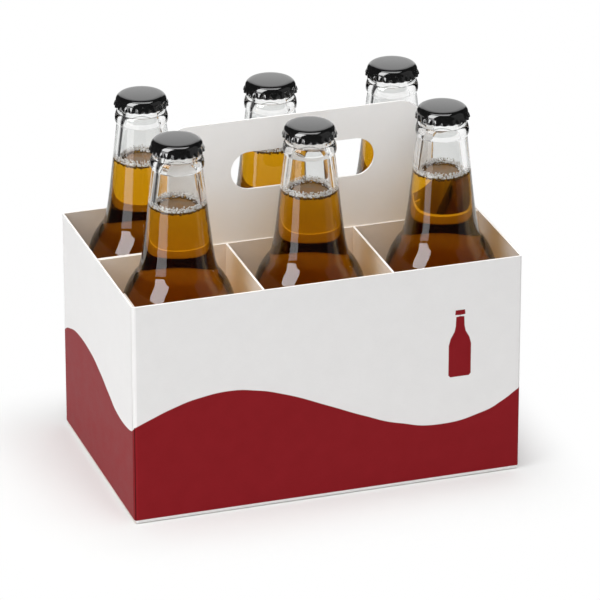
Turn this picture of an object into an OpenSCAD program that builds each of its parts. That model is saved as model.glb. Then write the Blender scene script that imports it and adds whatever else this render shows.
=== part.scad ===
// Six-bottle carrier: an open paperboard box with a carrying panel, holding six capped glass bottles.
// Millimetres, +Z up. The origin is on the floor under the middle of the box, with +X along its length
// and -Y towards the front wall.

/* [Bottle] */
// Diameter of the body
bottle_d = 61.5; // [60:0.5:70]
// Height of the straight body, up to the start of the shoulder
body_h = 85; // [70:1:95]
// Height of the round part of the shoulder above the body
shoulder_rise = 39; // [34:1:46]
// Diameter where the shoulder's round curve turns into the neck's hollow curve
turn_d = 43; // [40:0.5:46]
// Radius gained for each millimetre of height at that turn
turn_slope = 0.78; // [0.6:0.02:0.9]
// Height of the neck above the turn
neck_rise = 57.5; // [50:0.5:70]
// Diameter at the top of the neck
neck_d = 26; // [25:0.2:27]
// Radius of the heel round the base
heel_r = 7; // [4:0.5:9]
// Width of the ring that the bottle stands on
bearing_w = 3; // [2:0.5:5]
// Height of the hollow under the base
punt_h = 4; // [2:0.5:6]
// Thickness of the glass in the base
base_glass = 4; // [3:0.5:6]
// Thickness of the glass in the body
body_glass = 2.2; // [1.6:0.1:3]
// Thickness of the glass at the turn of the shoulder
turn_glass = 2.6; // [2:0.1:3.2]
// Thickness of the glass at the top of the neck
neck_glass = 3.6; // [3:0.1:4]
// Distance from the lip down to the beer
fill_drop = 35.5; // [22:0.5:50]
// Gap between the beer and the glass
fill_gap = 0.1; // [0.05:0.05:0.3]

/* [Finish] */
// Height of the finish, the moulded top of the bottle above the neck
finish_h = 14.5; // [14:0.5:18]
// Height of the bead round the finish
bead_h = 6.4; // [5:0.2:8]
// Diameter of the bead
bead_d = 27.9; // [27.2:0.1:28.4]
// Diameter between the bead and the ring that the cap grips
waist_d = 25.2; // [24.4:0.1:25.6]
// Diameter of the ring that the cap grips
ring_d = 26; // [25.8:0.1:26.6]
// Depth of that ring below the lip
ring_h = 3.6; // [3.2:0.1:4]
// Radius of the lip's outer edge
lip_r = 2.3; // [1.8:0.1:2.6]
// Radius of the lip's inner edge
mouth_r = 1; // [0.5:0.1:1.4]
// Diameter of the bore
bore_d = 16; // [15:0.2:17]
// Depth of the straight bore
bore_h = 10; // [8:0.5:13]

/* [Crown cap] */
// Diameter of the cap over its teeth
cap_d = 28.8; // [28.4:0.1:30]
// Height of the cap
cap_h = 6; // [5.5:0.1:6.6]
// Thickness of the cap's steel
cap_t = 0.3; // [0.2:0.05:0.35]
// Outside radius between the cap's top and its skirt
cap_round = 3; // [2:0.1:3.2]
// Clearance between the cap and the ring that it grips
cap_clear = 0.1; // [0.05:0.05:0.2]
// Number of teeth round the skirt
cap_teeth = 21; // [19:1:23]
// Width of the flat on each tooth, as an angle
tooth_angle = 0.8; // [0.4:0.2:2]
// Thickness of the sealing liner inside the cap
liner_t = 0.8; // [0.5:0.1:1]

/* [Box] */
// Height of the walls
wall_h = 123; // [95:1:135]
// Thickness of the wall board
board = 1; // [0.6:0.1:1.6]
// Inside radius of a fold in the board
fold_in = 0.4; // [0.2:0.1:1]
// Free length beside a bottle in its cell
play_l = 7.7; // [7:0.1:14]
// Free width beside a bottle in its cell
play_w = 1.3; // [0.8:0.1:8]
// Width of the flap that is glued inside the left wall
glue_flap_w = 18; // [10:1:25]
// Gap between that wall's cut edge and the fold of the front corner
corner_seam = 0.6; // [0.3:0.1:1.2]
// Gap between the two long base flaps
base_seam = 0.6; // [0.3:0.1:2]
// Distance by which the long base flaps stop short of the end walls
flap_trim = 0.8; // [0.4:0.1:2]

/* [Partitions] */
// Thickness of the partition sheet
sheet = 0.6; // [0.4:0.1:0.8]
// Gap between a divider's nose or a partition's end and the wall
sheet_gap = 0.1; // [0.05:0.05:0.3]

/* [Handle panel] */
// Thickness of the handle panel
panel_t = 1.2; // [0.8:0.1:2]
// Height of the handle's top above the floor
handle_h = 191; // [175:1:220]
// Width of the handle above the walls
handle_w = 145; // [120:1:160]
// Distance of the handle from the middle of the box
handle_shift = 2; // [-6:0.5:6]
// Radius of the handle's top corners
handle_r = 15; // [8:1:24]
// Radius where the handle's sides meet the low part of the panel
shoulder_r = 8; // [3:1:14]
// Length of the hand hole
hole_l = 79; // [70:1:90]
// Height of the hand hole
hole_h = 21; // [18:0.5:26]
// Distance from the handle's top down to the middle of the hand hole
hole_drop = 28.5; // [22:0.5:36]
// Distance of the hand hole from the middle of the handle
hole_shift = 5; // [-8:0.5:8]
// Width of the glue tab at each end of the panel
tab_w = 16; // [10:1:22]
// Distance by which the glue tabs stop below the wall's top
tab_drop = 6; // [2:1:20]

/* [Hidden] */
$fn = 96;
// Straight steps in each curve of the bottle's outline
curve_steps = 12;
// Length of the turn's tangent towards the shoulder and towards the neck
turn_reach = [10, 4.2];
// Length of the tangent at the top of the straight body
body_reach = 21;
// Length of the tangent at the top of the neck, and radius gained for each millimetre along it
neck_reach = 32;
neck_slope = 0.12;
// Radius of the corner inside the bottle's base
floor_r = 6;
// Length by which a cutting shape passes the face that it cuts
past = 1;

// Folds and layers of the box
fold_r = board + fold_in;
divider = 2 * sheet;
stack = panel_t + 2 * sheet;
cell_l = bottle_d + play_l;
cell_w = bottle_d + play_w;
inner_l = 3 * cell_l + 2 * divider;
inner_w = 2 * cell_w + stack;
box_l = inner_l + 2 * board;
box_w = inner_w + 2 * board;
flap_l = (box_w - base_seam) / 2;
flap_seat = board;
end_flap_seat = 2 * board;
sheet_seat = end_flap_seat + fold_in;
pitch_l = cell_l + divider;
pitch_w = cell_w + stack;

// Heights and radii of the bottle
turn_h = body_h + shoulder_rise;
neck_h = turn_h + neck_rise;
bottle_h = neck_h + finish_h;
body_r = bottle_d / 2;
turn_r = turn_d / 2;
neck_r = neck_d / 2;
waist_r = waist_d / 2;
bead_out = (bead_d - neck_r - waist_r) / 2;
ring_r = ring_d / 2;
bore_r = bore_d / 2;

// Heights and radii of the cap
cap_bottom = bottle_h + liner_t + cap_t - cap_h;
cap_top = cap_bottom + cap_h;
cap_r = cap_d / 2;
cap_in_r = ring_r + cap_clear;
skirt_r = cap_in_r + cap_t;
tooth_half = (360 / cap_teeth - tooth_angle) / 2;
tooth_out = cap_r * cos(tooth_half) - skirt_r;
tooth_side = cap_r * sin(tooth_half);
groove_r = (tooth_out * tooth_out + tooth_side * tooth_side) / (2 * tooth_out);
liner_r = skirt_r - cap_round;

// Each place for a bottle: its name, its column and row, the height of the flap that the bottle stands
// on, and how far it stands to the right of the middle of its cell
PLACES = [
    ["front_left", -1, -1, end_flap_seat, -0.9],
    ["front_middle", 0, -1, flap_seat, 0],
    ["front_right", 1, -1, end_flap_seat, 2.1],
    ["rear_left", -1, 1, end_flap_seat, -0.4],
    ["rear_middle", 0, 1, flap_seat, 0],
    ["rear_right", 1, 1, end_flap_seat, -2.7]
];
CARTON = ["outer_carton", "handle_panel", "front_partition", "rear_partition"];
FILLED = ["bottle", "beer", "crown_cap", "cap_liner"];

// Points along a circle's arc, as [radius, height] pairs
function arc(centre, r, from, to, steps = curve_steps) =
    [for (i = [0 : steps]) let (a = from + (to - from) * i / steps) centre + r * [cos(a), sin(a)]];

// Points along a cubic curve with four control points
function cubic(p, steps = curve_steps) =
    [for (i = [0 : steps]) let (t = i / steps, s = 1 - t)
        s * s * s * p[0] + 3 * s * s * t * p[1] + 3 * s * t * t * p[2] + t * t * t * p[3]];

// A list of points without its first one, where it joins the list before it
function rest(points) = [for (i = [1 : len(points) - 1]) points[i]];

// A dome over a flat ring, from its edge to the axis
function dome(edge, height, rise, steps = curve_steps) =
    [for (i = [0 : steps]) let (r = edge * (1 - i / steps)) [r, height + rise * (1 - r * r / (edge * edge))]];

// The shoulder and neck, set in from the outside by the glass thickness at the body, turn and neck
function shoulder(body_in, turn_in) = cubic([
    [body_r - body_in, body_h],
    [body_r - body_in, body_h + body_reach],
    [turn_r - turn_in + turn_slope * turn_reach[0], turn_h - turn_reach[0]],
    [turn_r - turn_in, turn_h]
]);
function neck(turn_in, neck_in) = cubic([
    [turn_r - turn_in, turn_h],
    [turn_r - turn_in - turn_slope * turn_reach[1], turn_h + turn_reach[1]],
    [neck_r - neck_in + neck_slope * neck_reach, neck_h - neck_reach],
    [neck_r - neck_in, neck_h]
]);

// The bead, half an ellipse that stands out between the neck and the waist below the ring
function bead() = [for (i = [0 : curve_steps]) let (a = 180 * i / curve_steps, u = (1 - cos(a)) / 2)
    [neck_r + (waist_r - neck_r) * u + bead_out * sin(a), neck_h + bead_h * u]];

// The outside of the bottle, from the axis under the base up to the lip
function outside() = concat(
    [for (i = [curve_steps : -1 : 0]) dome(body_r - heel_r - bearing_w, 0, punt_h)[i]],
    arc([body_r - heel_r, heel_r], heel_r, -90, 0),
    shoulder(0, 0),
    rest(neck(0, 0)),
    rest(bead()),
    [[waist_r, bottle_h - ring_h - (ring_r - waist_r)]],
    [[ring_r, bottle_h - ring_h]],
    arc([ring_r - lip_r, bottle_h - lip_r], lip_r, 0, 90)
);

// The inside of the bottle, from the mouth down to the axis above the base, set in by a gap
function inside(gap) = let (bore = bore_r - gap, wall = body_glass + gap, floor_h = base_glass + gap) concat(
    [[bore, bottle_h - mouth_r]],
    [[bore, bottle_h - bore_h]],
    [for (i = [curve_steps : -1 : 0]) neck(turn_glass + gap, neck_glass + gap)[i]],
    rest([for (i = [curve_steps : -1 : 0]) shoulder(wall, turn_glass + gap)[i]]),
    arc([body_r - wall - floor_r, floor_h + floor_r], floor_r, 0, -90),
    rest(dome(body_r - wall - floor_r, floor_h, punt_h))
);

// A square whose corner at the origin is rounded
module rounded_square(size, r) {
    translate([r, 0]) square([size[0] - r, size[1]]);
    translate([0, r]) square([size[0], size[1] - r]);
    translate([r, r]) circle(r);
}

// A rectangle round the origin with four rounded corners
module rounded_plan(size, r) {
    square([size[0] - 2 * r, size[1]], center = true);
    square([size[0], size[1] - 2 * r], center = true);
    for (x = [-1, 1]) for (y = [-1, 1])
        translate([x * (size[0] / 2 - r), y * (size[1] / 2 - r)]) circle(r);
}

// The section of a wall's foot and the flap that is folded in from it
module folded_foot(flap) {
    foot_h = fold_r + end_flap_seat;
    difference() {
        rounded_square([flap, foot_h], fold_r);
        translate([board, board]) rounded_square([flap, foot_h], fold_in);
    }
}

// A long wall's foot and base flap, for the wall on the front side
module long_flap() {
    translate([-box_l / 2 + flap_trim, -box_w / 2, 0])
        rotate([90, 0, 90]) linear_extrude(box_l - 2 * flap_trim) folded_foot(flap_l);
}

// An end wall's foot and flap, for the wall on the right, laid over the long flaps
module end_flap() {
    translate([box_l / 2, inner_w / 2, flap_seat])
        rotate([90, 0, 0]) linear_extrude(inner_w) mirror([1, 0]) folded_foot(flap_l);
}

// The outer carton: four walls, a glue flap, and a base of two long and two end flaps
module outer_carton() color("whitesmoke") {
    difference() {
        translate([0, 0, end_flap_seat]) linear_extrude(wall_h - end_flap_seat) difference() {
            rounded_plan([box_l, box_w], fold_r);
            rounded_plan([inner_l, inner_w], fold_in);
        }
        // Below the folds of the end walls
        translate([-box_l / 2 - past, -inner_w / 2, 0]) cube([box_l + 2 * past, inner_w, flap_seat + fold_r]);
        // The seam beside the front left corner
        translate([-box_l / 2 - past, -box_w / 2 + fold_r, 0]) cube([past + board, corner_seam, wall_h + past]);
    }
    // The glue flap behind that seam
    translate([-inner_l / 2, -inner_w / 2, end_flap_seat]) cube([board, glue_flap_w, wall_h - end_flap_seat]);
    for (turn = [0, 180]) rotate([0, 0, turn]) {
        long_flap();
        end_flap();
    }
}

// The outline of the handle panel, seen from the front
module panel_outline() {
    low_h = wall_h - sheet_seat;
    top_h = handle_h - sheet_seat;
    difference() {
        union() {
            translate([-inner_l / 2, 0]) square([inner_l, low_h]);
            translate([handle_shift, 0]) {
                translate([-handle_w / 2, 0]) square([handle_w, top_h - handle_r]);
                translate([handle_r - handle_w / 2, 0]) square([handle_w - 2 * handle_r, top_h]);
                for (side = [-1, 1]) {
                    translate([side * (handle_w / 2 - handle_r), top_h - handle_r]) circle(handle_r);
                    translate([side * handle_w / 2, low_h]) mirror([side < 0 ? 1 : 0, 0]) inner_fillet(shoulder_r);
                }
            }
        }
        translate([handle_shift + hole_shift, top_h - hole_drop]) hand_hole();
    }
}

// The web that fills the corner between two edges with a hollow curve
module inner_fillet(r) {
    difference() {
        square(r);
        translate([r, r]) circle(r);
    }
}

// The hand hole, with round ends
module hand_hole() {
    square([hole_l - hole_h, hole_h], center = true);
    for (side = [-1, 1]) translate([side * (hole_l - hole_h) / 2, 0]) circle(hole_h / 2);
}

// The handle panel, with a tab folded to the front at its left end and to the rear at its right end
module handle_panel() color("gainsboro") translate([0, 0, sheet_seat]) {
    difference() {
        translate([0, panel_t / 2, 0]) rotate([90, 0, 0]) linear_extrude(panel_t) panel_outline();
        for (turn = [0, 180]) rotate([0, 0, turn]) translate([-inner_l / 2, panel_t / 2, -past])
            linear_extrude(wall_h + past) mirror([0, 1]) difference() {
                translate([-past, -past]) square(panel_t + past);
                translate([panel_t, panel_t]) circle(panel_t);
            }
    }
    for (turn = [0, 180]) rotate([0, 0, turn]) translate([-inner_l / 2, -panel_t / 2 - tab_w, 0])
        cube([panel_t, tab_w, wall_h - tab_drop - sheet_seat]);
}

// A partition: a sheet along the front of the handle panel, pleated out into two dividers
module partition() color("gainsboro") translate([0, 0, sheet_seat]) linear_extrude(wall_h - sheet_seat) {
    reach = cell_w + sheet - sheet_gap;
    left = -inner_l / 2 + panel_t + sheet_gap;
    right = inner_l / 2 - sheet_gap;
    translate([left, -stack / 2]) square([right - left, sheet]);
    for (side = [-1, 1]) translate([side * pitch_l / 2, -stack / 2 + sheet]) {
        translate([-sheet, sheet - reach]) square([divider, reach - sheet]);
        translate([0, sheet - reach]) circle(sheet);
    }
}

module front_partition() partition();

module rear_partition() rotate([0, 0, 180]) partition();

// A glass bottle, hollow, with a domed base and a finish for a crown cap
module bottle() color("lightcyan", 0.4) rotate_extrude() polygon(concat(
    outside(),
    arc([bore_r + mouth_r, bottle_h - mouth_r], mouth_r, 90, 180),
    rest(inside(0))
));

// The beer in a bottle, up to its level
module beer() color("goldenrod", 0.8) intersection() {
    rotate_extrude() polygon(concat(inside(fill_gap), [[0, bottle_h - mouth_r]]));
    cylinder(r = body_r, h = bottle_h - fill_drop);
}

// A crown cap: a pressed shell whose skirt is fluted into teeth
module crown_cap() color("black") difference() {
    rotate_extrude() polygon(concat(
        [[0, cap_top - cap_t]],
        arc([liner_r, cap_top - cap_round], cap_round - cap_t, 90, 0),
        [[cap_in_r, cap_bottom], [cap_r, cap_bottom]],
        arc([liner_r, cap_top - cap_round], cap_round, 0, 90),
        [[0, cap_top]]
    ));
    for (tooth = [1 : cap_teeth]) rotate([0, 0, 360 * tooth / cap_teeth])
        translate([skirt_r + groove_r, 0, cap_bottom - past]) cylinder(r = groove_r, h = cap_h + 2 * past);
}

// The sealing disc between a cap and the lip of its bottle
module cap_liner() color("silver") translate([0, 0, bottle_h]) cylinder(r = liner_r, h = liner_t);

// Moves a piece of a bottle to one of the places in the box
module at(place) translate([place[1] * pitch_l + place[4], place[2] * pitch_w / 2, place[3]]) children();

outer_carton();
handle_panel();
front_partition();
rear_partition();
for (place = PLACES) {
    at(place) bottle();
    at(place) beer();
    at(place) crown_cap();
    at(place) cap_liner();
}
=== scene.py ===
# %% [markdown]
# A six-bottle carrier, finished for the camera.
#
# The box is a folded paperboard carton with a carrying panel down its middle, two pleated partitions and
# six capped bottles. The solids give the true sizes and places. Here each surface gets its finish, and the
# glass, the beer, the bubbles and the pressed caps are modelled again as smooth meshes.
#
# Everything is in metres, with +Z up and the front wall towards -Y, as the frame has it. The box that the
# solids fill is kept.

# %% Load the frame
import math
import random

import bpy
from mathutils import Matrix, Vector


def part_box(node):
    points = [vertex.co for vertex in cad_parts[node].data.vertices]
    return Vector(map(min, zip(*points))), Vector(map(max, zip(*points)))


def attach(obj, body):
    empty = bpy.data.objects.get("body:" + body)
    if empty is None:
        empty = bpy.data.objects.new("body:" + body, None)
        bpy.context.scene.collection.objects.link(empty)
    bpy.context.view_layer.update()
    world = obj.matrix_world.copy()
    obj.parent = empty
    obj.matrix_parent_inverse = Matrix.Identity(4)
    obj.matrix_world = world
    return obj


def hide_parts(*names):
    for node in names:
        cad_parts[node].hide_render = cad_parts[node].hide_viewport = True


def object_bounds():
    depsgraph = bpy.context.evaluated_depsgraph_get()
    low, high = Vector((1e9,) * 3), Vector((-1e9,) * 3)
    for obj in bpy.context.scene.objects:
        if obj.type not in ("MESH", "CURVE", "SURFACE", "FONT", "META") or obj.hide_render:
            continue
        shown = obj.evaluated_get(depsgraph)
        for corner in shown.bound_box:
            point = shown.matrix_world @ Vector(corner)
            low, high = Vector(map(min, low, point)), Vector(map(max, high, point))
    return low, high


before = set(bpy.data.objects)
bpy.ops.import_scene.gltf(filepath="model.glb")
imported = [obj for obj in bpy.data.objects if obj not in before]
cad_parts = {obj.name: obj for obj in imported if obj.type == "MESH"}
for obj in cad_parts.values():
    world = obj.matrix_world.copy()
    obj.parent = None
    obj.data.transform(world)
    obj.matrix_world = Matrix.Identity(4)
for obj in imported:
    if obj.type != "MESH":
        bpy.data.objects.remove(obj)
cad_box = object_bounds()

MM = 0.001
print("nodes in the frame:", len(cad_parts))

# %% [markdown]
# ## Camera
#
# A long lens from a few metres away keeps the upright edges almost parallel, which is what a product
# picture of a box wants. The camera could be placed by hand until the picture looks right. Here it stands
# on a turn and a tilt round one point inside the box, because plain numbers are easier to read and change.

# %% Camera
scene = bpy.context.scene
CAMERA_TURN = math.radians(-18.32)
CAMERA_TILT = math.radians(24.06)
CAMERA_DISTANCE = 2.657
CAMERA_AIM = Vector((5.6, 0, 84.4)) * MM
SENSOR = 36
LENS = 301.5
FAR_CLIP = 20


def towards(turn, tilt):
    """The direction from the box to a place at this turn from the front and this tilt above the floor."""
    return Vector((
        math.sin(turn) * math.cos(tilt),
        -math.cos(turn) * math.cos(tilt),
        math.sin(tilt),
    ))


def look_back(direction):
    """The turn of a camera, lamp or card that stands in this direction and faces the box."""
    return (-direction).to_track_quat("-Z", "Y").to_euler()


view_direction = towards(CAMERA_TURN, CAMERA_TILT)
bpy.ops.object.select_all(action="DESELECT")
bpy.ops.object.camera_add(
    location=CAMERA_AIM + view_direction * CAMERA_DISTANCE,
    rotation=look_back(view_direction),
)
camera = bpy.context.object
camera.name = "camera"
camera.data.sensor_width = SENSOR
camera.data.lens = LENS
camera.data.clip_end = FAR_CLIP
scene.camera = camera
scene.view_settings.view_transform = "Standard"
print("camera", round(camera.data.lens, 1), "mm lens at", [round(v, 3) for v in camera.location])

# %% [markdown]
# ## Node helpers
#
# Materials are networks of small nodes. Making each node by hand takes several lines, so these helpers
# make one node, set its values or link its inputs, and give back the socket that the next node reads.


# %% Node helpers
def put(tree, socket, value):
    """Links a socket to another one, or sets it to a plain value."""
    if isinstance(value, bpy.types.NodeSocket):
        tree.links.new(value, socket)
    else:
        socket.default_value = value


def add_node(tree, kind, inputs=(), **settings):
    """A new node with its settings, and its inputs given by name or number."""
    made = tree.nodes.new(kind)
    for name, value in settings.items():
        setattr(made, name, value)
    for name, value in dict(inputs).items():
        put(tree, made.inputs[name], value)
    return made


def maths(tree, operation, *values):
    """The result of one Math node."""
    return add_node(tree, "ShaderNodeMath", dict(enumerate(values)), operation=operation).outputs[0]


def product(tree, first, *others):
    """Values multiplied with each other."""
    for value in others:
        first = maths(tree, "MULTIPLY", first, value)
    return first


def parts(tree, vector):
    """The X, Y and Z of a vector."""
    return add_node(tree, "ShaderNodeSeparateXYZ", {0: vector}).outputs


def along(tree, direction, axis):
    """How far a direction points along an axis."""
    made = add_node(tree, "ShaderNodeVectorMath", {0: direction, 1: axis}, operation="DOT_PRODUCT")
    return made.outputs["Value"]


def ramp(tree, value, low, high, out_low=0.0, out_high=1.0, smooth=False):
    """A value between two levels, as a clamped share from out_low to out_high."""
    made = add_node(tree, "ShaderNodeMapRange", clamp=True)
    made.interpolation_type = "SMOOTHSTEP" if smooth else "LINEAR"
    for number, given in enumerate((value, low, high, out_low, out_high)):
        put(tree, made.inputs[number], given)
    return made.outputs[0]


def mix(tree, share, under, over, kind="RGBA", way="MIX"):
    """Two colours or two values, the second laid over the first by a share, or multiplied with it."""
    made = add_node(tree, "ShaderNodeMix", data_type=kind, blend_type=way)
    for name, value in (("Factor", share), ("A", under), ("B", over)):
        put(tree, made.inputs[name], value)
    return made.outputs["Result"]


def mix_shaders(tree, share, under, over):
    """Two shaders, the second laid over the first by a share."""
    return add_node(tree, "ShaderNodeMixShader", {0: share, 1: under, 2: over}).outputs[0]


print("node helpers ready")

# %% [markdown]
# A material needs a little more: an output, a shader, the place of each point on the piece, noise of a
# known size in millimetres, and a bump. Every pattern reads the place in Object coordinates, because all
# the pieces sit at the origin, so a millimetre in the pattern is a millimetre on the piece.


# %% Material helpers
def noise(tree, place, size, detail=2.0, stretch=(1, 1, 1)):
    """Noise whose spots are about as large as size, stretched along X, Y and Z."""
    scaled = add_node(tree, "ShaderNodeMapping", {"Vector": place})
    scaled.inputs["Scale"].default_value = [1 / (size * s) for s in stretch]
    made = add_node(tree, "ShaderNodeTexNoise", {"Vector": scaled.outputs[0], "Scale": 1.0})
    made.inputs["Detail"].default_value = detail
    return made.outputs["Fac"]


def new_material(name):
    """An empty material with its output and the place of each point on the piece."""
    material = bpy.data.materials.new(name)
    material.use_nodes = True
    tree = material.node_tree
    tree.nodes.clear()
    output = add_node(tree, "ShaderNodeOutputMaterial")
    place = add_node(tree, "ShaderNodeTexCoord").outputs["Object"]
    return material, tree, output, place


def principled(tree, output, **values):
    """The material's shader, with its inputs given by name."""
    made = add_node(tree, "ShaderNodeBsdfPrincipled")
    for name, value in values.items():
        put(tree, made.inputs[name.replace("_", " ")], value)
    tree.links.new(made.outputs["BSDF"], output.inputs["Surface"])
    return made


def bump(tree, shader, height, strength, distance):
    """A bump on the shader's normal, as deep as distance at full strength."""
    made = add_node(tree, "ShaderNodeBump", {"Height": height})
    made.inputs["Strength"].default_value = strength
    made.inputs["Distance"].default_value = distance
    tree.links.new(made.outputs["Normal"], shader.inputs["Normal"])


print("material helpers ready")

# %% [markdown]
# ## Studio
#
# The picture has a white background and soft light that comes mostly from the left. A white world could
# light the box alone, but then the glass would have no dark rims and the black caps no shape. So the world
# is split by the kind of ray. Rays from the camera see white. Mirrored rays see a narrow white backdrop
# behind the box, and bent rays a wide one that lies a little to the right; elsewhere both see a dim room.
# All other rays get an even, plain light.

# %% World
BACKDROP = towards(CAMERA_TURN, 0) * -1
BRIGHT_SIDE = towards(CAMERA_TURN + math.radians(158), 0)
# Cosines between which the backdrop comes up, for mirrored and for bent rays
BACK_FADE = (0.90, 0.97)
SIDE_FADE = (0.25, 0.55)
ROOM_LEVEL = 0.025
FILL_LEVEL = 0.44
# Heights, as sines of the tilt, between which the backdrop fades, how far it fades, and where it has ended
FADE_LOW, FADE_HIGH, FADE_LEVEL, FADE_END = 0.34, 0.50, 0.45, 0.53

world = bpy.data.worlds.new("studio")
scene.world = world
world.use_nodes = True
tree = world.node_tree
tree.nodes.clear()
ray = add_node(tree, "ShaderNodeLightPath").outputs
direction = add_node(tree, "ShaderNodeTexCoord").outputs["Generated"]
upward = parts(tree, direction)["Z"]
faded = ramp(tree, upward, FADE_LOW, FADE_HIGH, 1.0, FADE_LEVEL)
ended = ramp(tree, upward, FADE_HIGH, FADE_END, 1.0, ROOM_LEVEL)
level_length = maths(tree, "SQRT", maths(tree, "SUBTRACT", 1.0, product(tree, upward, upward)))
level_facing = maths(tree, "DIVIDE", along(tree, direction, BACKDROP), level_length)
close_behind = ramp(tree, level_facing, *BACK_FADE, ROOM_LEVEL, 1.0, smooth=True)
mirrored_level = product(tree, close_behind, faded, ended)
bent_level = ramp(tree, along(tree, direction, BRIGHT_SIDE), *SIDE_FADE, ROOM_LEVEL, 1.0, smooth=True)
room_level = mix(tree, ray["Is Transmission Ray"], mirrored_level, bent_level, "FLOAT")


def background(strength):
    """A white background of this strength."""
    return add_node(tree, "ShaderNodeBackground", {"Color": (1, 1, 1, 1), "Strength": strength}).outputs[0]


mirrored_or_bent = maths(tree, "MAXIMUM", ray["Is Glossy Ray"], ray["Is Transmission Ray"])
seen = maths(tree, "MAXIMUM", ray["Is Camera Ray"], mirrored_or_bent)
shown = mix_shaders(tree, ray["Is Camera Ray"], background(room_level), background(1.0))
whole = mix_shaders(tree, seen, background(FILL_LEVEL), shown)
add_node(tree, "ShaderNodeOutputWorld", {"Surface": whole})
print("world: fill", FILL_LEVEL, "room", ROOM_LEVEL)

# %% [markdown]
# The lamps are large, so that no shadow has a hard edge. The cards are seen only in reflections and add no
# light to the board. Those on the left and the right draw the strips that make glass look like glass, and
# the one overhead draws the bright line on the near rim of each cap.

# %% Lamps and cards
LAMPS = {
    "key_lamp": {"turn": -74, "tilt": 40, "distance": 1.5, "size": (0.9, 1.2), "watts": 13.8},
    "top_lamp": {"turn": 20, "tilt": 82, "distance": 1.5, "size": (1.4, 1.4), "watts": 8.4},
    "front_lamp": {"turn": -4, "tilt": 50, "distance": 1.8, "size": (1.2, 1.0), "watts": 9.4},
}
CARDS = {
    "left_card": {"turn": -69, "tilt": -5, "distance": 1.1, "size": (0.60, 0.40), "level": 3.0},
    "upper_card": {"turn": -69, "tilt": 38, "distance": 1.4, "size": (0.72, 1.50), "level": 8.5},
    "right_card": {"turn": 60, "tilt": 22, "distance": 1.2, "size": (1.10, 1.50), "level": 0.22},
    "rim_card": {"turn": 162, "tilt": 89, "distance": 1.2, "size": (0.90, 0.60), "level": 3.2},
}


def stand(thing):
    """Where a lamp or card stands, and its turn to face the box."""
    where = towards(math.radians(thing["turn"]), math.radians(thing["tilt"]))
    return CAMERA_AIM + where * thing["distance"], look_back(where)


for name, lamp in LAMPS.items():
    spot, turned = stand(lamp)
    bpy.ops.object.light_add(type="AREA", location=spot, rotation=turned)
    made = bpy.context.object
    made.name = name
    made.data.shape = "RECTANGLE"
    made.data.size, made.data.size_y = lamp["size"]
    made.data.energy = lamp["watts"]
    made.visible_glossy = False
    made.visible_transmission = False

for name, card in CARDS.items():
    spot, turned = stand(card)
    bpy.ops.object.select_all(action="DESELECT")
    bpy.ops.mesh.primitive_plane_add(size=1, location=spot, rotation=turned)
    made = bpy.context.object
    made.name = name
    made.scale = (*card["size"], 1)
    bpy.ops.object.transform_apply(location=True, rotation=True, scale=True)
    material, tree, output, place = new_material(name)
    light = add_node(tree, "ShaderNodeEmission", {"Strength": card["level"]})
    tree.links.new(light.outputs[0], output.inputs["Surface"])
    made.data.materials.append(material)
    made.visible_camera = False
    made.visible_diffuse = False
    made.visible_transmission = False
    made.visible_shadow = False
print("lamps", list(LAMPS), "cards", list(CARDS))

# %% [markdown]
# ## Floor
#
# The floor is a pale sheet that shows a soft shadow beside the box and goes over to plain white further
# away, so that no horizon shows. One material does both: matt white near the box, and a white glow that
# only the camera sees further out. Bent rays see the far floor dim where the room is dim, which draws thin
# dark lines in the clear glass.

# %% Floor
FLOOR_RADIUS = 0.55
FLOOR_FADE = (0.006, 0.062)
FLOOR_LEAN = (-0.020, -0.012, 0)
FLOOR_WHITE = (0.765, 0.775, 0.77, 1)
FLOOR_DIM = (0.04, 0.04, 0.04, 1)
half_box = (cad_box[1] - cad_box[0]) / 2

bpy.ops.object.select_all(action="DESELECT")
bpy.ops.mesh.primitive_circle_add(
    vertices=96, radius=FLOOR_RADIUS, fill_type="NGON", location=(0, 0, 0))
floor = bpy.context.object
floor.name = "floor"
bpy.ops.object.mode_set(mode="EDIT")
bpy.ops.mesh.select_all(action="SELECT")
bpy.ops.mesh.inset(thickness=FLOOR_RADIUS / 2)
bpy.ops.object.mode_set(mode="OBJECT")
material, tree, output, place = new_material("pale_floor")


def outside_by(value, half):
    """How far a value lies outside a half width on either side, and 0 inside."""
    past = maths(tree, "SUBTRACT", maths(tree, "ABSOLUTE", value), half)
    return maths(tree, "MAXIMUM", past, 0.0)


leaning = add_node(tree, "ShaderNodeVectorMath", {0: place, 1: FLOOR_LEAN}, operation="SUBTRACT")
across = parts(tree, leaning.outputs[0])
out_x = outside_by(across["X"], half_box.x)
out_y = outside_by(across["Y"], half_box.y)
squares = maths(tree, "ADD", product(tree, out_x, out_x), product(tree, out_y, out_y))
far_share = ramp(tree, maths(tree, "SQRT", squares), *FLOOR_FADE, smooth=True)
ray = add_node(tree, "ShaderNodeLightPath").outputs
glow_share = product(tree, far_share, ray["Is Camera Ray"])
heading = add_node(tree, "ShaderNodeVectorMath", {0: place}, operation="NORMALIZE").outputs[0]
dim_side = ramp(tree, along(tree, heading, BRIGHT_SIDE), *SIDE_FADE, 1.0, 0.0, smooth=True)
dim_share = product(tree, far_share, dim_side, ray["Is Transmission Ray"])
pale = mix(tree, dim_share, FLOOR_WHITE, FLOOR_DIM)
matt = add_node(tree, "ShaderNodeBsdfDiffuse", {"Color": pale})
glow = add_node(tree, "ShaderNodeEmission", {"Strength": 1.0})
both = mix_shaders(tree, glow_share, matt.outputs[0], glow.outputs[0])
tree.links.new(both, output.inputs["Surface"])
floor.data.materials.append(material)
print("floor radius", FLOOR_RADIUS)

# %% [markdown]
# Light that crosses a full bottle meets the glass twice, the beer twice and the glass twice again, and a
# second bottle behind it as often. With too few bounces such a ray ends black, so more are allowed.

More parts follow.
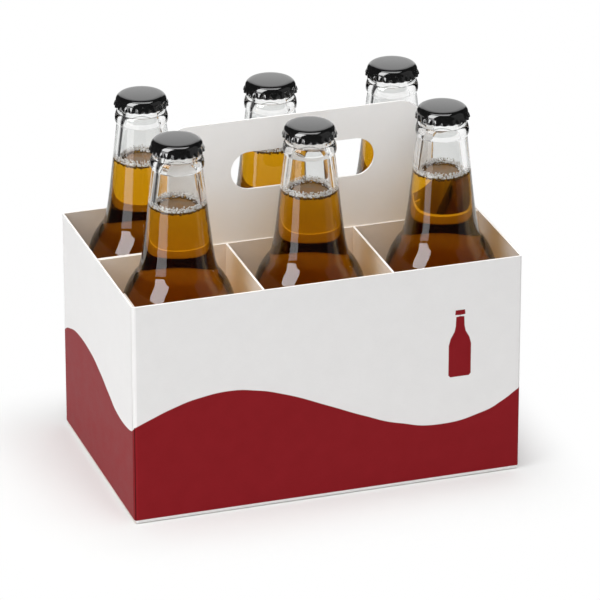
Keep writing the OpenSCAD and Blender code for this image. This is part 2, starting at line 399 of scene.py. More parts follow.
# %% Bounces
CLEAR_BOUNCES = 32
scene.cycles.max_bounces = CLEAR_BOUNCES
scene.cycles.transmission_bounces = CLEAR_BOUNCES
scene.cycles.glossy_bounces = 6
scene.cycles.diffuse_bounces = 8
print("bounces through clear pieces:", CLEAR_BOUNCES)

# %% [markdown]
# ## Board
#
# Paperboard is pressed wood fibre. Its face has a faint cloudy tone, short fibres and a slightly uneven
# skin. All the boards share that, so it is one node group with named outputs, built once and placed in
# each board material: a tone to tint the colour with, and a height for the bump.


# %% Paper grain group
def group_tree(name, outputs):
    """A node group that reads the place on the piece and puts out values by name."""
    made = bpy.data.node_groups.new(name, "ShaderNodeTree")
    made.interface.new_socket("Place", in_out="INPUT", socket_type="NodeSocketVector")
    for output_name in outputs:
        made.interface.new_socket(output_name, in_out="OUTPUT", socket_type="NodeSocketFloat")
    start = made.nodes.new("NodeGroupInput")
    end = made.nodes.new("NodeGroupOutput")
    return made, start.outputs["Place"], end


CLOUD_SIZE = 9 * MM
CLOUD_SHARE = 0.6
FIBRE_SIZE = 0.5 * MM
FIBRE_STRETCH = (5, 5, 1)
FIBRE_DEPTH = 0.05 * MM

grain_group, place, end = group_tree("paper_grain", ("Tone", "Height"))
clouds = noise(grain_group, place, CLOUD_SIZE, 3)
fibres = noise(grain_group, place, FIBRE_SIZE, 2, FIBRE_STRETCH)
cloudy = product(grain_group, clouds, CLOUD_SHARE)
fibrous = product(grain_group, fibres, 1 - CLOUD_SHARE)
tone = ramp(grain_group, maths(grain_group, "ADD", cloudy, fibrous), 0.3, 0.7)
put(grain_group, end.inputs["Tone"], tone)
put(grain_group, end.inputs["Height"], fibres)


def paper_grain(tree, place):
    """The tone and height of the board's grain at each place."""
    made = add_node(tree, "ShaderNodeGroup", node_tree=grain_group)
    put(tree, made.inputs["Place"], place)
    return made.outputs["Tone"], made.outputs["Height"]


print("group", grain_group.name)

# %% [markdown]
# ## Printed carton
#
# The carton is one folded blank, so its solid keeps its true folds and only needs a finish. The outside is
# coated white, with a dark red field round its foot that ends in one long wave. The inside is uncoated; its
# warmer colour is partly the board's own and partly painted warm light from the beer. Cut edges show bare
# fibre.

# %% Sizes and colours of the carton
HALF_L, HALF_W, WALL_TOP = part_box("outer_carton")[1]
ROUND = 4 * (HALF_L + HALF_W)
SKIN = 0.5 * MM
BOARD = 1.05 * MM
PRINT_EDGE = 0.15 * MM
BARE_FOOT = 2.2 * MM
CUT = 0.05 * MM
COATED = (0.765, 0.755, 0.752, 1)
COATED_SHADE = (0.74, 0.73, 0.727, 1)
RED = (0.207, 0.006, 0.0095, 1)
RED_LIGHT = (0.229, 0.008, 0.0125, 1)
# The inside colours are partly the uncoated board's own and partly painted warm light from the beer.
BARE_WITH_BEER_GLOW = (0.63, 0.565, 0.51, 1)
BARE_WITH_BEER_GLOW_SHADE = (0.58, 0.515, 0.46, 1)
RAW_EDGE = (0.90, 0.885, 0.87, 1)
print("printed board: wave round", round(ROUND / MM), "mm of wall")

# %% [markdown]
# The wave could be drawn on a picture and wrapped round the box. Here a single curve gives its height along
# the way round the four walls, so it meets itself at every corner.

# %% Wave round the walls
WAVE_SCALE = 100 * MM
# The way round from the front left corner, as X or Y on each wall, and the wave's height there
WAVE = [
    ("front", -106, 55), ("front", -96, 59.2), ("front", -85, 63.4), ("front", -70, 67.4),
    ("front", -54, 69), ("front", -40, 67.2), ("front", -26, 63.3), ("front", 0, 52.5),
    ("front", 20, 43.7), ("front", 40, 36.5), ("front", 62, 32.8), ("front", 84, 36.2),
    ("front", 96, 41.4), ("right", -65, 47.8), ("right", -48, 55.5), ("right", -25, 61.5),
    ("right", -5, 62.5), ("right", 15, 59.5), ("right", 35, 53.2), ("right", 50, 49),
    ("rear", 106, 48.5), ("rear", 95, 51.4), ("rear", 80, 56), ("rear", 55, 61.6),
    ("rear", 35, 62.8), ("rear", 15, 60.3), ("rear", -10, 53), ("rear", -40, 42.4),
    ("rear", -62, 38.5), ("rear", -80, 42.4), ("rear", -95, 49.2), ("left", 65, 55.3),
    ("left", 55, 60.4), ("left", 33, 64.8), ("left", 14, 64.1), ("left", -2, 60.8),
    ("left", -21, 54.6), ("left", -37, 50.4), ("left", -50, 50.2), ("left", -65, 55),
]


def way_round(wall, place):
    """How far round the box a place on a wall is, from the front left corner."""
    place = place * MM
    return {
        "front": place + HALF_L,
        "right": 2 * HALF_L + place + HALF_W,
        "rear": 2 * HALF_L + 2 * HALF_W + HALF_L - place,
        "left": 4 * HALF_L + 2 * HALF_W + HALF_W - place,
    }[wall]


def curve(tree, value, shares, straight=False):
    """A value read off a curve through points whose two numbers run from 0 to 1."""
    made = add_node(tree, "ShaderNodeFloatCurve", {"Value": value})
    points = made.mapping.curves[0].points
    points[0].location = shares[0]
    points[1].location = shares[-1]
    for share in shares[1:-1]:
        points.new(*share)
    if straight:
        for point in points:
            point.handle_type = "VECTOR"
    made.mapping.update()
    return made.outputs[0]


def wave_height(tree, way):
    """The height of the wave's edge at each place round the box."""
    shares = [(way_round(wall, place) / ROUND, height * MM / WAVE_SCALE) for wall, place, height in WAVE]
    return product(tree, curve(tree, maths(tree, "DIVIDE", way, ROUND), shares), WAVE_SCALE)


print("wave:", len(WAVE), "points")

# %% [markdown]
# A plain bottle in the same red stands at the right of the front. Its half width follows a curve with
# straight runs, from its foot up to its cap.

# %% Bottle on the front
MARK_X, MARK_LOW, MARK_HIGH, MARK_HALF = 72 * MM, 59 * MM, 97 * MM, 6.2 * MM
# Heights as shares of the whole, and half widths as shares of the widest
MARK = [
    (0, 0.84), (0.03, 1), (0.48, 1), (0.58, 0.84), (0.68, 0.5), (0.76, 0.4),
    (0.90, 0.36), (0.905, 0), (0.925, 0), (0.93, 0.46), (1, 0.42),
]


def mark_share(tree, x, z):
    """1 inside the bottle drawn on the front wall."""
    up = ramp(tree, z, MARK_LOW, MARK_HIGH)
    half = product(tree, curve(tree, up, MARK, straight=True), MARK_HALF)
    aside = maths(tree, "ABSOLUTE", maths(tree, "SUBTRACT", x, MARK_X))
    wide = ramp(tree, maths(tree, "SUBTRACT", half, aside), -PRINT_EDGE, PRINT_EDGE)
    above_low = maths(tree, "GREATER_THAN", z, MARK_LOW)
    below_high = maths(tree, "LESS_THAN", z, MARK_HIGH)
    return product(tree, wide, above_low, below_high)


print("bottle on the front:", round((MARK_HIGH - MARK_LOW) / MM), "mm high")

# %% [markdown]
# Each point of the carton is sorted by its place: on a long wall or an end wall, outside or inside, below
# the wave or above it, and how far round the box it lies.

# %% Where the print lies
printed_board, tree, output, place = new_material("printed_board")
x, y, z = parts(tree, place)
past_x = maths(tree, "SUBTRACT", maths(tree, "ABSOLUTE", x), HALF_L)
past_y = maths(tree, "SUBTRACT", maths(tree, "ABSOLUTE", y), HALF_W)
past_wall = maths(tree, "MAXIMUM", past_x, past_y)
outside = maths(tree, "GREATER_THAN", past_wall, -SKIN)
on_long_wall = maths(tree, "GREATER_THAN", past_y, past_x)
in_front = maths(tree, "LESS_THAN", y, 0.0)
on_front = product(tree, on_long_wall, in_front)
to_right = maths(tree, "GREATER_THAN", x, 0.0)
way_front = maths(tree, "ADD", x, HALF_L)
way_right = maths(tree, "ADD", y, 2 * HALF_L + HALF_W)
way_rear = maths(tree, "SUBTRACT", 3 * HALF_L + 2 * HALF_W, x)
way_left = maths(tree, "SUBTRACT", 4 * HALF_L + 3 * HALF_W, y)
way_long = mix(tree, in_front, way_rear, way_front, "FLOAT")
way_end = mix(tree, to_right, way_left, way_right, "FLOAT")
wave = wave_height(tree, mix(tree, on_long_wall, way_end, way_long, "FLOAT"))
below_wave = ramp(tree, maths(tree, "SUBTRACT", wave, z), -PRINT_EDGE, PRINT_EDGE)
above_foot = ramp(tree, z, BARE_FOOT - PRINT_EDGE, BARE_FOOT + PRINT_EDGE)
mark = product(tree, mark_share(tree, x, z), on_front)
inked = maths(tree, "MAXIMUM", product(tree, below_wave, above_foot), mark)
field = product(tree, inked, outside)
print("print laid out on", printed_board.name)

# %% [markdown]
# The front left corner is where the blank closes: the front wall is creased there and a thin seam runs down
# beside the fold. Both are tints on the print: a painted highlight on the rounded fold, and painted shade
# in the seam's gap. The cut top edge of the walls is the brightest board.

# %% Printed board
SEAM = (0.25 * MM, 0.85 * MM)
# Painted shade: this gain darkens the seam's gap, more on the red than on the white.
SEAM_SHADE_GAIN = (0.10, 0.10, 0.10, 1)
SEAM_SHADE_ON_WHITE, SEAM_SHADE_ON_RED = 0.10, 0.9
FOLD = 2.0 * MM
# Painted highlight: this gain lightens the rounded fold on the front wall.
FOLD_HIGHLIGHT_GAIN = (1.15, 1.15, 1.15, 1)
COAT_ROUGH = (0.40, 0.48)
BARE_ROUGH = 0.85

tone, height = paper_grain(tree, place)
coat = mix(tree, tone, COATED_SHADE, COATED)
ink = mix(tree, tone, RED, RED_LIGHT)
bare = mix(tree, tone, BARE_WITH_BEER_GLOW_SHADE, BARE_WITH_BEER_GLOW)
printed = mix(tree, field, coat, ink)
fold_highlight_share = product(tree, on_front, maths(tree, "LESS_THAN", way_front, FOLD))
past_gap = maths(tree, "GREATER_THAN", way_front, SEAM[0])
in_gap = product(tree, past_gap, maths(tree, "LESS_THAN", way_front, SEAM[1]))
seam_shade_share = product(tree, in_gap, ramp(tree, field, 0.0, 1.0, SEAM_SHADE_ON_WHITE, SEAM_SHADE_ON_RED), on_front)
printed = mix(tree, fold_highlight_share, printed, FOLD_HIGHLIGHT_GAIN, way="MULTIPLY")
printed = mix(tree, seam_shade_share, printed, SEAM_SHADE_GAIN, way="MULTIPLY")
skin_colour = mix(tree, outside, bare, printed)
on_top = maths(tree, "GREATER_THAN", z, WALL_TOP - CUT)
in_wall = maths(tree, "GREATER_THAN", past_wall, -BOARD)
colour = mix(tree, product(tree, on_top, in_wall), skin_colour, RAW_EDGE)
rough = mix(tree, outside, BARE_ROUGH, ramp(tree, tone, 0.0, 1.0, *COAT_ROUGH), "FLOAT")
shader = principled(tree, output, Base_Color=colour, Roughness=rough, Specular_IOR_Level=0.08)
bump(tree, shader, height, 0.12, FIBRE_DEPTH)


def finish_node(name, material):
    """Gives one of the frame's own nodes its finish."""
    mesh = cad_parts[name].data
    mesh.materials.clear()
    mesh.materials.append(material)


finish_node("outer_carton", printed_board)
print("carton finished")

# %% [markdown]
# ## Panel and partitions
#
# The carrying panel is coated white like the carton, but its white is set lighter: painted light that makes
# up for the shade of the bottles in front of it. The partitions are thinner, uncoated sheets with a softer
# finish;
# their warm colour is partly their own and partly painted warm light from the beer. Low in the box real
# beer throws a warm light on both. The render follows no light that beer gathers, so a slight warm tint,
# stronger further down, stands for it as painted light.

# %% Plain boards
# The panel's white is lighter than the carton's coat: painted light against the bottles' shade.
LIT_PANEL = (0.905, 0.895, 0.885, 1)
LIT_PANEL_SHADE = (0.885, 0.875, 0.865, 1)
PANEL_ROUGH = (0.48, 0.56)
# The sheets' warm colour is partly their own and partly painted warm light from the beer.
SHEET_WITH_BEER_GLOW = (0.75, 0.69, 0.63, 1)
SHEET_WITH_BEER_GLOW_SHADE = (0.70, 0.64, 0.58, 1)
SHEET_ROUGH = (0.75, 0.85)
WARM_GAIN = (0.98, 0.90, 0.82, 1)
WARM_FROM, WARM_TO = 160 * MM, 112 * MM


def plain_board(name, light, shade, roughs, edge_h):
    """Unprinted board with the paper's grain, and bare fibre on the edge that is cut at a height."""
    material, tree, output, place = new_material(name)
    tone, height = paper_grain(tree, place)
    z = parts(tree, place)["Z"]
    on_edge = maths(tree, "GREATER_THAN", z, edge_h - CUT)
    warm_share = ramp(tree, z, WARM_TO, WARM_FROM, 1.0, 0.0)
    board = mix(tree, warm_share, mix(tree, tone, shade, light), WARM_GAIN, way="MULTIPLY")
    shader = principled(
        tree, output,
        Base_Color=mix(tree, on_edge, board, RAW_EDGE),
        Roughness=ramp(tree, tone, 0.0, 1.0, *roughs),
    )
    bump(tree, shader, height, 0.15, FIBRE_DEPTH)
    return material


panel_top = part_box("handle_panel")[1].z
sheet_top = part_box("front_partition")[1].z
panel_board = plain_board("panel_board", LIT_PANEL, LIT_PANEL_SHADE, PANEL_ROUGH, panel_top)
sheet_board = plain_board("sheet_board", SHEET_WITH_BEER_GLOW, SHEET_WITH_BEER_GLOW_SHADE, SHEET_ROUGH, sheet_top)
finish_node("handle_panel", panel_board)
finish_node("front_partition", sheet_board)
finish_node("rear_partition", sheet_board)
print("panel and partitions finished")

# %% [markdown]
# ## Glass, beer and lacquer
#
# Clear glass is a shader with full transmission. Its skin is never quite even, and a very faint, long
# ripple keeps the reflections from looking drawn with a ruler. The lamps' light could be traced through
# glass as it bends, but that takes very many samples. Letting it pass straight through is close enough.

# %% Clear glass
GLASS = (0.995, 0.998, 0.995, 1)
GLASS_INDEX = 1.50
RIPPLE_SIZE = 14 * MM
RIPPLE_STRETCH = (1, 1, 3)
RIPPLE_DEPTH = 0.15 * MM


def let_light_through(tree, output, shader, colour):
    """Lets the lamps shine through a clear piece, so that what is behind it isn't left in the dark."""
    clear = add_node(tree, "ShaderNodeBsdfTransparent", {"Color": colour})
    ray = add_node(tree, "ShaderNodeLightPath").outputs
    either_way = mix_shaders(tree, ray["Is Shadow Ray"], shader.outputs[0], clear.outputs[0])
    tree.links.new(either_way, output.inputs["Surface"])


clear_glass, tree, output, place = new_material("clear_glass")
shader = principled(
    tree, output, Base_Color=GLASS, Roughness=0.0, IOR=GLASS_INDEX, Transmission_Weight=1.0)
bump(tree, shader, noise(tree, place, RIPPLE_SIZE, 1, RIPPLE_STRETCH), 0.25, RIPPLE_DEPTH)
let_light_through(tree, output, shader, GLASS)
print("glass bends light by", GLASS_INDEX)

# %% [markdown]
# Beer is a liquid that bends light less than glass and swallows blue light first, then green, so a thin
# neck of it is gold and a thick body is brown. An absorbing volume gives that by itself. Half of the colour
# lies on the beer's surface all the same, because that keeps thin and thick parts closer together.

# %% Beer in the glass
BEER_INDEX = 1.34
BEER_SKIN = (0.97, 0.565, 0.055, 1)
BEER_TINT = (0.895, 0.805, 0.05, 1)
BEER_DENSITY = 100.0
BEER_SHADOW = (0.92, 0.79, 0.48, 1)

amber_beer, tree, output, place = new_material("amber_beer")
shader = principled(
    tree, output, Base_Color=BEER_SKIN, Roughness=0.0, IOR=BEER_INDEX, Transmission_Weight=1.0)
let_light_through(tree, output, shader, BEER_SHADOW)
depth = add_node(tree, "ShaderNodeVolumeAbsorption")
depth.inputs["Color"].default_value = BEER_TINT
depth.inputs["Density"].default_value = BEER_DENSITY
tree.links.new(depth.outputs[0], output.inputs["Volume"])
print("beer bends light by", BEER_INDEX)

# %% [markdown]
# Bubbles are a thin film, bright with a few tan ones among them. Those that lie in the beer are painted
# dark, a painted shade that draws the fine dark line under the ring. The bottles in the middle stand on one
# layer of board fewer, so their line lies lower. The froth between the bubbles is beer again, in small
# cells whose edges carry a painted highlight.

# %% Bubbles and froth
FILM_INDEX = 1.33
BUBBLE_WHITE = (0.98, 0.97, 0.96, 1)
BUBBLE_TAN = (0.40, 0.30, 0.18, 1)
BUBBLE_SPOT = 1.1 * MM
# Painted shade: the colour of the bubbles below the wet line, which draws the dark line under the ring.
SUNK_BUBBLE_SHADE = (0.13, 0.07, 0.02, 1)
WET_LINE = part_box("beer_front_left")[1].z + 0.6 * MM
WET_EDGE = 0.1 * MM
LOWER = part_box("bottle_front_left")[0].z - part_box("bottle_front_middle")[0].z
MIDDLE = 20 * MM
FROTH_AMBER = (0.30, 0.13, 0.02, 1)
FROTH_BROWN = (0.24, 0.14, 0.06, 1)
# Painted highlight: the pale colour laid on the edges of the froth's cells.
FROTH_CELL_HIGHLIGHT = (0.38, 0.23, 0.10, 1)
FROTH_CELL = 0.5 * MM
FROTH_PATCH = 6 * MM

bubble_film, tree, output, place = new_material("bubble_film")
hues = ramp(tree, noise(tree, place, BUBBLE_SPOT, 1), 0.34, 0.42)
bright = mix(tree, hues, BUBBLE_TAN, BUBBLE_WHITE)
x, y, z = parts(tree, place)
in_middle = maths(tree, "LESS_THAN", maths(tree, "ABSOLUTE", x), MIDDLE)
level_z = maths(tree, "ADD", z, product(tree, in_middle, LOWER))
above = maths(tree, "SUBTRACT", level_z, WET_LINE)
film = mix(tree, ramp(tree, above, -WET_EDGE, WET_EDGE), SUNK_BUBBLE_SHADE, bright)
principled(tree, output, Base_Color=film, Roughness=0.12, IOR=FILM_INDEX, Transmission_Weight=0.15)

froth_skin, tree, output, place = new_material("froth_skin")
cells = add_node(tree, "ShaderNodeTexVoronoi", {"Vector": place, "Scale": 1 / FROTH_CELL})
patches = ramp(tree, noise(tree, place, FROTH_PATCH, 1), 0.42, 0.58)
froth = mix(tree, patches, FROTH_AMBER, FROTH_BROWN)
lit = mix(tree, ramp(tree, cells.outputs["Distance"], 0.5, 0.9), froth, FROTH_CELL_HIGHLIGHT)
principled(tree, output, Base_Color=lit, Roughness=0.2, IOR=FILM_INDEX, Transmission_Weight=0.3)
print("bubbles and froth: wet line at", round(WET_LINE / MM, 1), "mm")

# %% [markdown]
# The caps are steel, sprayed with glossy black lacquer. Lacquer has a fine unevenness and a few specks of
# dust, which dull it a little in places. The liners are pale, slightly mottled plastic.

# %% Lacquer and liner
LACQUER = (0.006, 0.006, 0.006, 1)
DUST = (0.05, 0.05, 0.05, 1)
SPECK, SMEAR, PEEL = 0.35 * MM, 6 * MM, 0.8 * MM
PEEL_DEPTH = 0.05 * MM
LINER = (0.78, 0.78, 0.75, 1)
LINER_SHADE = (0.70, 0.70, 0.67, 1)
LINER_SPOT = 1.5 * MM

cap_lacquer, tree, output, place = new_material("cap_lacquer")
specks = ramp(tree, noise(tree, place, SPECK, 2), 0.68, 0.74)
smears = noise(tree, place, SMEAR, 3)
shader = principled(
    tree, output,
    Base_Color=mix(tree, product(tree, specks, 0.5), LACQUER, DUST),
    Roughness=ramp(tree, smears, 0.3, 0.7, 0.04, 0.09),
    IOR=1.5,
    Coat_Weight=1.0,
    Coat_Roughness=0.03,
)
bump(tree, shader, noise(tree, place, PEEL, 1), 0.04, PEEL_DEPTH)

liner_plastic, tree, output, place = new_material("liner_plastic")
mottle = noise(tree, place, LINER_SPOT, 2)
principled(
    tree, output,
    Base_Color=mix(tree, mottle, LINER_SHADE, LINER),
    Roughness=ramp(tree, mottle, 0.3, 0.7, 0.45, 0.6),
)
print("lacquer and liner made")

# %% [markdown]
# ## Outlines
#
# A bottle is a shape of revolution, so one half outline says all of it. The outline is made of arcs and of
# curves between two tangents, with the same sizes as the solid, in millimetres from the bottle's own foot.

# %% Sizes of the bottle
STEPS = 20
# Radii and heights of the straight body, of the turn between shoulder and neck, and of the neck's top
body_r, body_h = 30.75, 85
turn_r, turn_h, turn_slope = 21.5, 124, 0.78
neck_r, neck_h, neck_slope = 13, 181.5, 0.12
bottle_h = 196
# How far the curves follow their tangents
turn_reach, body_reach, neck_reach = (10, 4.2), 21, 32
# The foot, the thickness of the glass, and the inside's lower corner
heel_r, bearing_w, punt_h = 7, 3, 4
base_glass, body_glass, turn_glass, neck_glass, floor_r = 4, 2.2, 2.6, 3.6, 6
# The bead and waist under the cap, the ring that the cap grips, and the mouth
bead_h, bead_r, waist_r = 6.4, 13.95, 12.6
ring_r, ring_h, lip_r = 13, 3.6, 2.3
bore_r, bore_h, mouth_r = 8, 10, 1
# How far the beer stands below the mouth
fill_drop = 35.5
print("bottle", 2 * body_r, "mm wide and", bottle_h, "mm high")


# %% Arcs and curves
def arc(centre, radius, start, stop, steps=STEPS):
    """Points along part of a circle, from one angle to another in degrees."""
    turns = [math.radians(start + (stop - start) * i / steps) for i in range(steps + 1)]
    return [(centre[0] + radius * math.cos(a), centre[1] + radius * math.sin(a)) for a in turns]


def cubic(points, steps=STEPS):
    """Points along a curve that leaves its first point and reaches its last one along two tangents."""
    line = []
    for i in range(steps + 1):
        t = i / steps
        weights = ((1 - t) ** 3, 3 * t * (1 - t) ** 2, 3 * t * t * (1 - t), t ** 3)
        line.append(tuple(sum(w * p[axis] for w, p in zip(weights, points)) for axis in (0, 1)))
    return line


def dome(edge, height, rise, steps=8):
    """Points from the edge of a dome to its top on the axis."""
    line = []
    for i in range(steps + 1):
        r = edge * (1 - i / steps)
        line.append((r, height + rise * (1 - (r / edge) ** 2)))
    return line


print("arcs and curves in", STEPS, "steps")


# %% Outline of the bottle
def shoulder_and_neck(body_in, turn_in, neck_in):
    """The curve from the straight body to the top of the neck, set in by the glass."""
    turn = (turn_r - turn_in, turn_h)
    shoulder = cubic([
        (body_r - body_in, body_h),
        (body_r - body_in, body_h + body_reach),
        (turn[0] + turn_slope * turn_reach[0], turn_h - turn_reach[0]),
        turn,
    ])
    neck = cubic([
        turn,
        (turn[0] - turn_slope * turn_reach[1], turn_h + turn_reach[1]),
        (neck_r - neck_in + neck_slope * neck_reach, neck_h - neck_reach),
        (neck_r - neck_in, neck_h),
    ], 2 * STEPS)
    return shoulder + neck[1:]


def bead():
    """Half an ellipse that stands out between the neck and the waist."""
    line = []
    for i in range(1, STEPS + 1):
        a = math.pi * i / STEPS
        share = (1 - math.cos(a)) / 2
        base = neck_r + (waist_r - neck_r) * share
        out = (bead_r - (neck_r + waist_r) / 2) * math.sin(a)
        line.append((base + out, neck_h + bead_h * share))
    return line


def inside_wall(gap):
    """The inside of the bottle from its floor's middle up to the neck, set in by a gap."""
    wall = body_glass + gap
    floor_h = base_glass + gap
    reach = body_r - wall - floor_r
    return (
        dome(reach, floor_h, punt_h)[::-1][:-1]
        + arc((reach, floor_h + floor_r), floor_r, -90, 0)
        + shoulder_and_neck(wall, turn_glass + gap, neck_glass + gap)
    )


outside_line = (
    dome(body_r - heel_r - bearing_w, 0, punt_h)[::-1]
    + arc((body_r - heel_r, heel_r), heel_r, -90, 0)
    + shoulder_and_neck(0, 0, 0)
    + bead()
    + [(waist_r, bottle_h - ring_h - (ring_r - waist_r)), (ring_r, bottle_h - ring_h)]
    + arc((ring_r - lip_r, bottle_h - lip_r), lip_r, 0, 90, 8)
)
mouth_line = arc((bore_r + mouth_r, bottle_h - mouth_r), mouth_r, 90, 180, 6)
bottle_line = outside_line + mouth_line + [(bore_r, bottle_h - bore_h)] + inside_wall(0)[::-1]
print("bottle outline:", len(bottle_line), "points")

# %% [markdown]
# ## Spinning an outline
#
# By hand one would put down a single point, extrude it along the outline and spin the line round the axis.
# The helper does the same: it shrinks a small plane to one point, extrudes that point along the outline,
# spins it, closes the seam and turns the faces outwards.


# %% Spin helper
def spin_outline(name, line, segments):
    """A mesh spun from a half outline of (radius, height) points in millimetres."""
    bpy.ops.object.select_all(action="DESELECT")
    bpy.ops.mesh.primitive_plane_add(size=MM, location=(0, 0, 0))
    piece = bpy.context.object
    piece.name = name
    bpy.ops.object.mode_set(mode="EDIT")
    bpy.ops.mesh.select_all(action="SELECT")
    bpy.ops.mesh.merge(type="CENTER")
    bpy.ops.transform.translate(value=(line[0][0] * MM, 0, line[0][1] * MM))
    for start, stop in zip(line, line[1:]):
        step = ((stop[0] - start[0]) * MM, 0, (stop[1] - start[1]) * MM)
        bpy.ops.mesh.extrude_region_move(TRANSFORM_OT_translate={"value": step})
    bpy.ops.mesh.select_all(action="SELECT")
    bpy.ops.mesh.spin(steps=segments, angle=2 * math.pi, center=(0, 0, 0), axis=(0, 0, 1))
    bpy.ops.mesh.select_all(action="SELECT")
    bpy.ops.mesh.remove_doubles(threshold=0.002 * MM)
    bpy.ops.mesh.normals_make_consistent(inside=False)
    bpy.ops.object.mode_set(mode="OBJECT")
    bpy.ops.object.shade_smooth_by_angle(angle=math.radians(40))
    print(name, "spun from", len(line), "points")
    return piece


# %% [markdown]
# What stands at all six places is modelled once and copied. Each copy gets its own mesh, a turn of its own
# about its axis, so that no two look alike, and its place on the foot of the bottle that stands there.

# %% Copies
PLACES = ["front_left", "front_middle", "front_right", "rear_left", "rear_middle", "rear_right"]
TURN_EACH = 1.1


def copy_to(model, name, shift, turn):
    """A copy of a model with its own mesh, turned about its axis and set at its place."""
    bpy.ops.object.select_all(action="DESELECT")
    model.select_set(True)
    bpy.context.view_layer.objects.active = model
    bpy.ops.object.duplicate(linked=False)
    made = bpy.context.object
    made.name = name
    made.data.name = name
    made.rotation_euler.z = turn
    made.location = shift
    bpy.ops.object.transform_apply(location=True, rotation=True, scale=True)
    return made


def foot_of(place):
    """The middle of the foot of the bottle that stands at a place."""
    low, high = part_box("bottle_" + place)
    return Vector(((low.x + high.x) / 2, (low.y + high.y) / 2, low.z))


def give_copies(model, kind, material, node):
    """Copies of a model at all six places, finished, in place of the solids of the same kind."""
    for number, place in enumerate(PLACES):
        made = copy_to(model, kind + "_" + place, foot_of(place), number * TURN_EACH)
        made.data.materials.clear()
        made.data.materials.append(material)
        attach(made, "root")
        if node:
            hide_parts(node + "_" + place)
    faces = len(model.data.polygons)
    bpy.data.objects.remove(model)
    print(kind, "six copies of", faces, "faces")


# %% [markdown]
# ## Bottles
#
# The whole outline, outside and inside, is spun at once, so that the glass has its true thickness and the
# light bends twice as it does in a real neck.

# %% Bottles
bottle = spin_outline("bottle_model", bottle_line, 112)
give_copies(bottle, "glass", clear_glass, "bottle")

# %% [markdown]
# ## Beer
#
# A gap between beer and glass would show as a silver film of air. The beer's skin therefore lies a hair
# inside the glass, and light passes straight from one into the other. At its top the beer climbs the glass
# a little, as water does in a tumbler.

# %% Beer
WETTING = 0.12
CLIMB_H, CLIMB_W, CLIMB_STEPS, CLIMB_BEND = 1.0, 2.2, 8, 2.2
level = bottle_h - fill_drop


def radius_at(line, height):
    """The radius of an outline at a height."""
    for low, high in zip(line, line[1:]):
        if low[1] <= height <= high[1] and high[1] > low[1]:
            share = (height - low[1]) / (high[1] - low[1])
            return low[0] + (high[0] - low[0]) * share
    return line[-1][0]


wet_wall = inside_wall(-WETTING)
edge_h = level + CLIMB_H
edge_r = radius_at(wet_wall, edge_h)
climb = []
for i in range(1, CLIMB_STEPS + 1):
    share = i / CLIMB_STEPS
    climb.append((edge_r - WETTING - CLIMB_W * share, level + CLIMB_H * (1 - share) ** CLIMB_BEND))
beer_line = (
    [p for p in wet_wall if p[1] < edge_h]
    + [(edge_r, edge_h)]
    + climb
    + [(climb[-1][0] / 2, level), (0, level)]
)
beer = spin_outline("beer_model", beer_line, 96)
give_copies(beer, "beer_fill", amber_beer, "beer")

# %% [markdown]
# ## Bubbles
#
# A ring of small bubbles clings to the glass where the beer ends. Each is a few dozen faces, because there
# are many. They are laid out in rows by a seeded draw, with larger bubbles below and smaller ones above.

# %% Bubbles
# Each row: the bubbles' radius, their height above the beer, how far in from the glass they lie (those
# that wet it sink into its skin a little), and how many there are
BUBBLE_ROWS = [
    (0.76, 0.0, -0.5, 58), (0.72, 1.0, -0.45, 60), (0.64, 1.9, -0.4, 60), (0.52, 2.7, -0.4, 54),
    (0.36, 3.4, -0.3, 40), (0.60, 0.1, 1.3, 36), (0.46, 0.1, 2.3, 18),
]
BUBBLE_SIDES, BUBBLE_RINGS = 8, 5
bore_line = inside_wall(0)
draw = random.Random(7)
bpy.ops.object.select_all(action="DESELECT")
bpy.ops.mesh.primitive_uv_sphere_add(
    segments=BUBBLE_SIDES, ring_count=BUBBLE_RINGS, radius=MM / 4, location=(0, 0, level * MM))
bubbles = bpy.context.object
bubbles.name = "bubble_model"
bpy.ops.object.transform_apply(location=True, rotation=True, scale=True)
bpy.ops.object.mode_set(mode="EDIT")
bpy.ops.mesh.select_all(action="SELECT")
bpy.ops.mesh.delete(type="VERT")
for radius, rise, aside, count in BUBBLE_ROWS:
    for number in range(count):
        size = radius * draw.uniform(0.65, 1.3)
        height = level + rise + draw.uniform(-0.3, 0.3)
        reach = radius_at(bore_line, height) - size + draw.uniform(-0.1, 0.1) - aside
        angle = 2 * math.pi * (number + draw.uniform(-0.3, 0.3)) / count
        bpy.ops.mesh.primitive_uv_sphere_add(
            segments=BUBBLE_SIDES, ring_count=BUBBLE_RINGS, radius=size * MM,
            location=(reach * math.cos(angle) * MM, reach * math.sin(angle) * MM, height * MM),
            rotation=(draw.uniform(0, 3), draw.uniform(0, 3), 0))
bpy.ops.object.mode_set(mode="OBJECT")
bpy.ops.object.shade_smooth()
give_copies(bubbles, "bubble_ring", bubble_film, None)

# %% [markdown]
# Between the bubbles a thin froth floats on the beer. It is a shallow lens, spun like the beer itself.

# %% Froth
FROTH_T, FROTH_SINK = 0.25, 0.1
froth_r = radius_at(bore_line, level) - CLIMB_W
froth_foot = [(froth_r * 0.98, level - FROTH_SINK), (0, level - FROTH_SINK)]
froth_line = dome(froth_r, level, FROTH_T)[::-1] + froth_foot
froth_model = spin_outline("froth_model", froth_line, 48)
give_copies(froth_model, "froth", froth_skin, None)

# %% [markdown]
# ## Crown caps
#
# A crown is a disc of thin steel, pressed over the lip so that its skirt folds into 21 flutes. By hand one
# would start from a ring at the skirt's foot, extrude it up and in to the top, and close it there.

# %% Rings of the cap
TEETH = 21
PER_TOOTH = 8
cap_r, cap_h, cap_t, cap_round = 13.4, 6, 0.18, 3
dome_h = 0.12
cap_top = bottle_h + 1.1
cap_foot = cap_top - cap_h
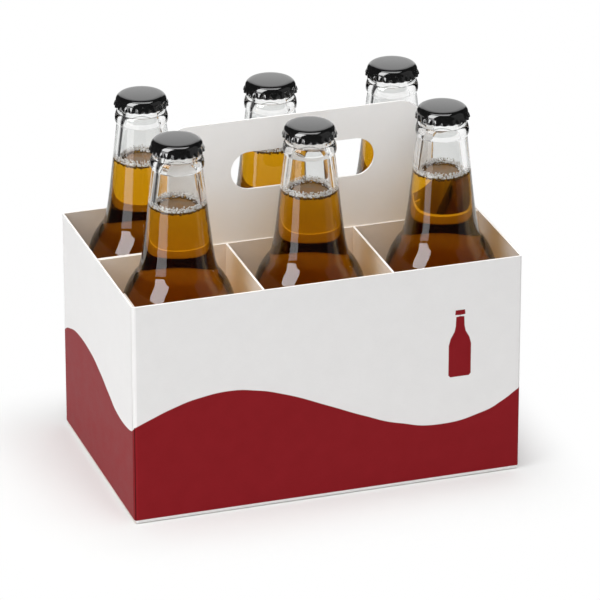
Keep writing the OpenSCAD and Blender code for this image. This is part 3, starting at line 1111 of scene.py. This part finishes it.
# Rings of the skirt from its foot up: how far each flares past the straight skirt, its height above the
# foot, and how deep its valleys are pressed in
SKIRT = [(1.0, 0.0, 0.95), (0.92, 0.7, 0.80), (0.62, 1.6, 0.5), (0.20, 2.5, 0.2)]
skirt = [(cap_r + flare, cap_foot + rise) for flare, rise, depth in SKIRT]
crown = arc((cap_r - cap_round, cap_top - cap_round - dome_h), cap_round, 0, 85, 10)
top = dome(crown[-1][0], crown[-1][1], cap_top - crown[-1][1], 6)
rings = skirt + crown + top[1:-1]

bpy.ops.object.select_all(action="DESELECT")
bpy.ops.mesh.primitive_circle_add(
    vertices=TEETH * PER_TOOTH, radius=rings[0][0] * MM, fill_type="NOTHING",
    location=(0, 0, rings[0][1] * MM))
cap = bpy.context.object
cap.name = "cap_model"
bpy.ops.object.transform_apply(location=True, rotation=True, scale=True)
bpy.ops.object.mode_set(mode="EDIT")
bpy.ops.mesh.select_all(action="SELECT")
for start, stop in zip(rings, rings[1:]):
    step = (0, 0, (stop[1] - start[1]) * MM)
    bpy.ops.mesh.extrude_region_move(TRANSFORM_OT_translate={"value": step})
    share = stop[0] / start[0]
    bpy.ops.transform.resize(value=(share, share, 1), center_override=(0, 0, stop[1] * MM))
bpy.ops.mesh.edge_face_add()
bpy.ops.object.mode_set(mode="OBJECT")
print("cap of", len(rings), "rings")

# %% [markdown]
# Every valley of the skirt is then pushed inwards. The pushes are scalings about the axis, deepest in the
# middle of a valley and at the foot. A thickness follows, laid on the inside of the pressed shape.

# %% Flutes and steel
# How much of a ring's depth a place has, from the middle of a valley to the ridge beside it
FLUTE = [1.0, 0.74, 0.34, 0.09, 0.0]


def select_flute(mesh, height, offset):
    """Selects the places on one ring that lie this many steps from the middle of a valley."""
    for vertex in mesh.vertices:
        share = math.atan2(vertex.co.y, vertex.co.x) / (2 * math.pi)
        step = round(share * TEETH * PER_TOOTH) % PER_TOOTH
        steps_off = min(step, PER_TOOTH - step)
        vertex.select = steps_off == offset and abs(vertex.co.z - height * MM) < 0.05 * MM


bpy.ops.object.mode_set(mode="EDIT")
bpy.ops.mesh.select_mode(type="VERT")
bpy.ops.mesh.select_all(action="DESELECT")
bpy.ops.object.mode_set(mode="OBJECT")
for flare, rise, depth in SKIRT:
    for offset, part in enumerate(FLUTE):
        select_flute(cap.data, cap_foot + rise, offset)
        share = 1 - depth * part / (cap_r + flare)
        bpy.ops.object.mode_set(mode="EDIT")
        bpy.ops.transform.resize(value=(share, share, 1), center_override=(0, 0, 0))
        bpy.ops.object.mode_set(mode="OBJECT")
bpy.ops.object.mode_set(mode="EDIT")
bpy.ops.mesh.select_all(action="SELECT")
bpy.ops.mesh.normals_make_consistent(inside=False)
bpy.ops.object.mode_set(mode="OBJECT")
steel = cap.modifiers.new("steel", "SOLIDIFY")
steel.thickness = cap_t * MM
steel.offset = -1
bpy.ops.object.modifier_apply(modifier="steel")
bpy.ops.object.shade_smooth_by_angle(angle=math.radians(50))
give_copies(cap, "cap", cap_lacquer, "crown_cap")

# %% [markdown]
# ## Liners
#
# The sealing disc inside each crown is hardly seen. Its solid is already right and only takes its finish.

# %% Liners
for place in PLACES:
    finish_node("cap_liner_" + place, liner_plastic)
print("liners finished")

# %% [markdown]
# ## Finish
#
# The size of the box of the solids is printed.

# %% Finish
print("box of the solids", [round(v / MM, 2) for v in cad_box[1] - cad_box[0]])
